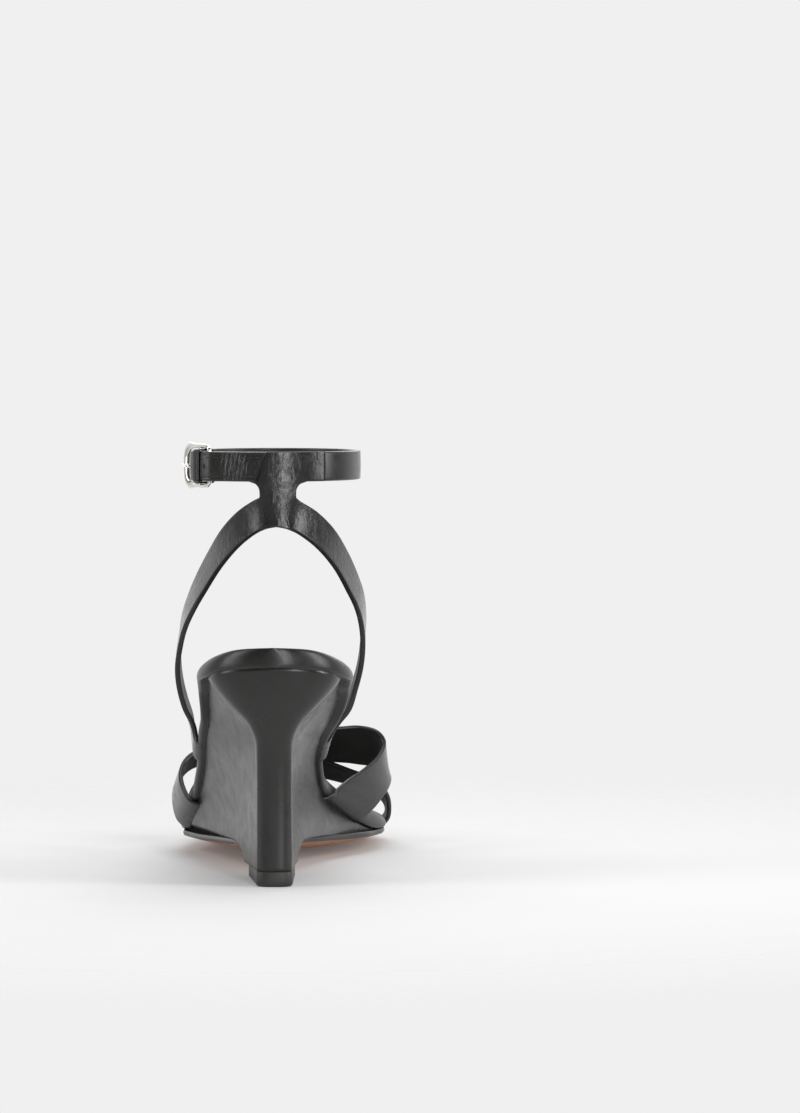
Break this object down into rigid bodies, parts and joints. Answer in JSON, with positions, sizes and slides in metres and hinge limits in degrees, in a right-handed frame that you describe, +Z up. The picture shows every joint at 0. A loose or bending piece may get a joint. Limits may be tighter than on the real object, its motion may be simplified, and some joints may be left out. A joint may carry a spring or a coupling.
{
  "type": "wedge sandal",
  "caption": "High wedge sandal with a narrow sculpted heel column, padded footbed, crossed toe straps and a heel sling that carries a buckled ankle strap",
  "frame": {"origin": "on the ground under the middle of the heel tip", "axes": "+Y runs from heel to toe, +Z is up, +X points to the inner side of the foot"},
  "size_m": [0.0919, 0.2259, 0.1727],
  "materials": {
    "black_leather": "smooth nappa with a soft sheen",
    "lining": "matt lining leather",
    "rubber_tip": "satin",
    "sole_leather": "polished tan sole",
    "cork": "raw cork",
    "board": "matt fibre board",
    "foam": "soft foam",
    "moulded_plastic": "moulded",
    "steel": "plain",
    "silver": "polished"
  },
  "bodies": {
    "sole_unit": {"wedge_core": "moulded_plastic", "wedge_cover": "black_leather", "heel_top_piece": "rubber_tip", "outsole": "sole_leather", "forefoot_filler": "cork", "insole_board": "board", "footbed_foam": "foam", "footbed_cover": "black_leather", "steel_shank": "steel", "shank_rivet_1": "steel", "shank_rivet_2": "steel", "heel_nail_1": "steel", "heel_nail_2": "steel", "heel_nail_3": "steel", "tip_pin_1": "steel", "tip_pin_2": "steel", "toe_strap_a": "black_leather", "toe_strap_a_lining": "lining", "toe_strap_b": "black_leather", "toe_strap_b_lining": "lining", "sling_anchor_lateral": "black_leather", "sling_anchor_medial": "black_leather"},
    "ankle_sling": {"heel_sling": "black_leather", "heel_sling_lining": "lining", "ankle_strap": "black_leather", "ankle_strap_lining": "lining", "buckle_tab": "black_leather", "keeper_loop": "black_leather"},
    "buckle": {"buckle_frame": "silver", "buckle_bar": "steel"},
    "prong": {"buckle_prong": "silver"},
    "tail": {"strap_tail": "black_leather", "strap_tail_lining": "lining"}
  },
  "joints": [
    {"name": "sling_lean", "type": "hinge", "parent": "sole_unit", "child": "ankle_sling", "pos_m": [-0.0075, 0.054, 0.055], "axis": [1, 0, 0], "range_deg": [-20, 8], "stiffness_Nm_per_rad": 1.4},
    {"name": "buckle_swivel", "type": "hinge", "parent": "ankle_sling", "child": "buckle", "pos_m": [-0.0287, -0.0101, 0.1639], "axis": [0, 0, 1], "range_deg": [-2, 2]},
    {"name": "prong_swing", "type": "hinge", "parent": "buckle", "child": "prong", "pos_m": [-0.0287, -0.0101, 0.1639], "axis": [0, 0, 1], "range_deg": [0, 38]},
    {"name": "tail_lift", "type": "hinge", "parent": "ankle_sling", "child": "tail", "pos_m": [-0.02455, -0.0201, 0.1639], "axis": [0, 0, -1], "range_deg": [0, 40], "stiffness_Nm_per_rad": 0.01}
  ]
}
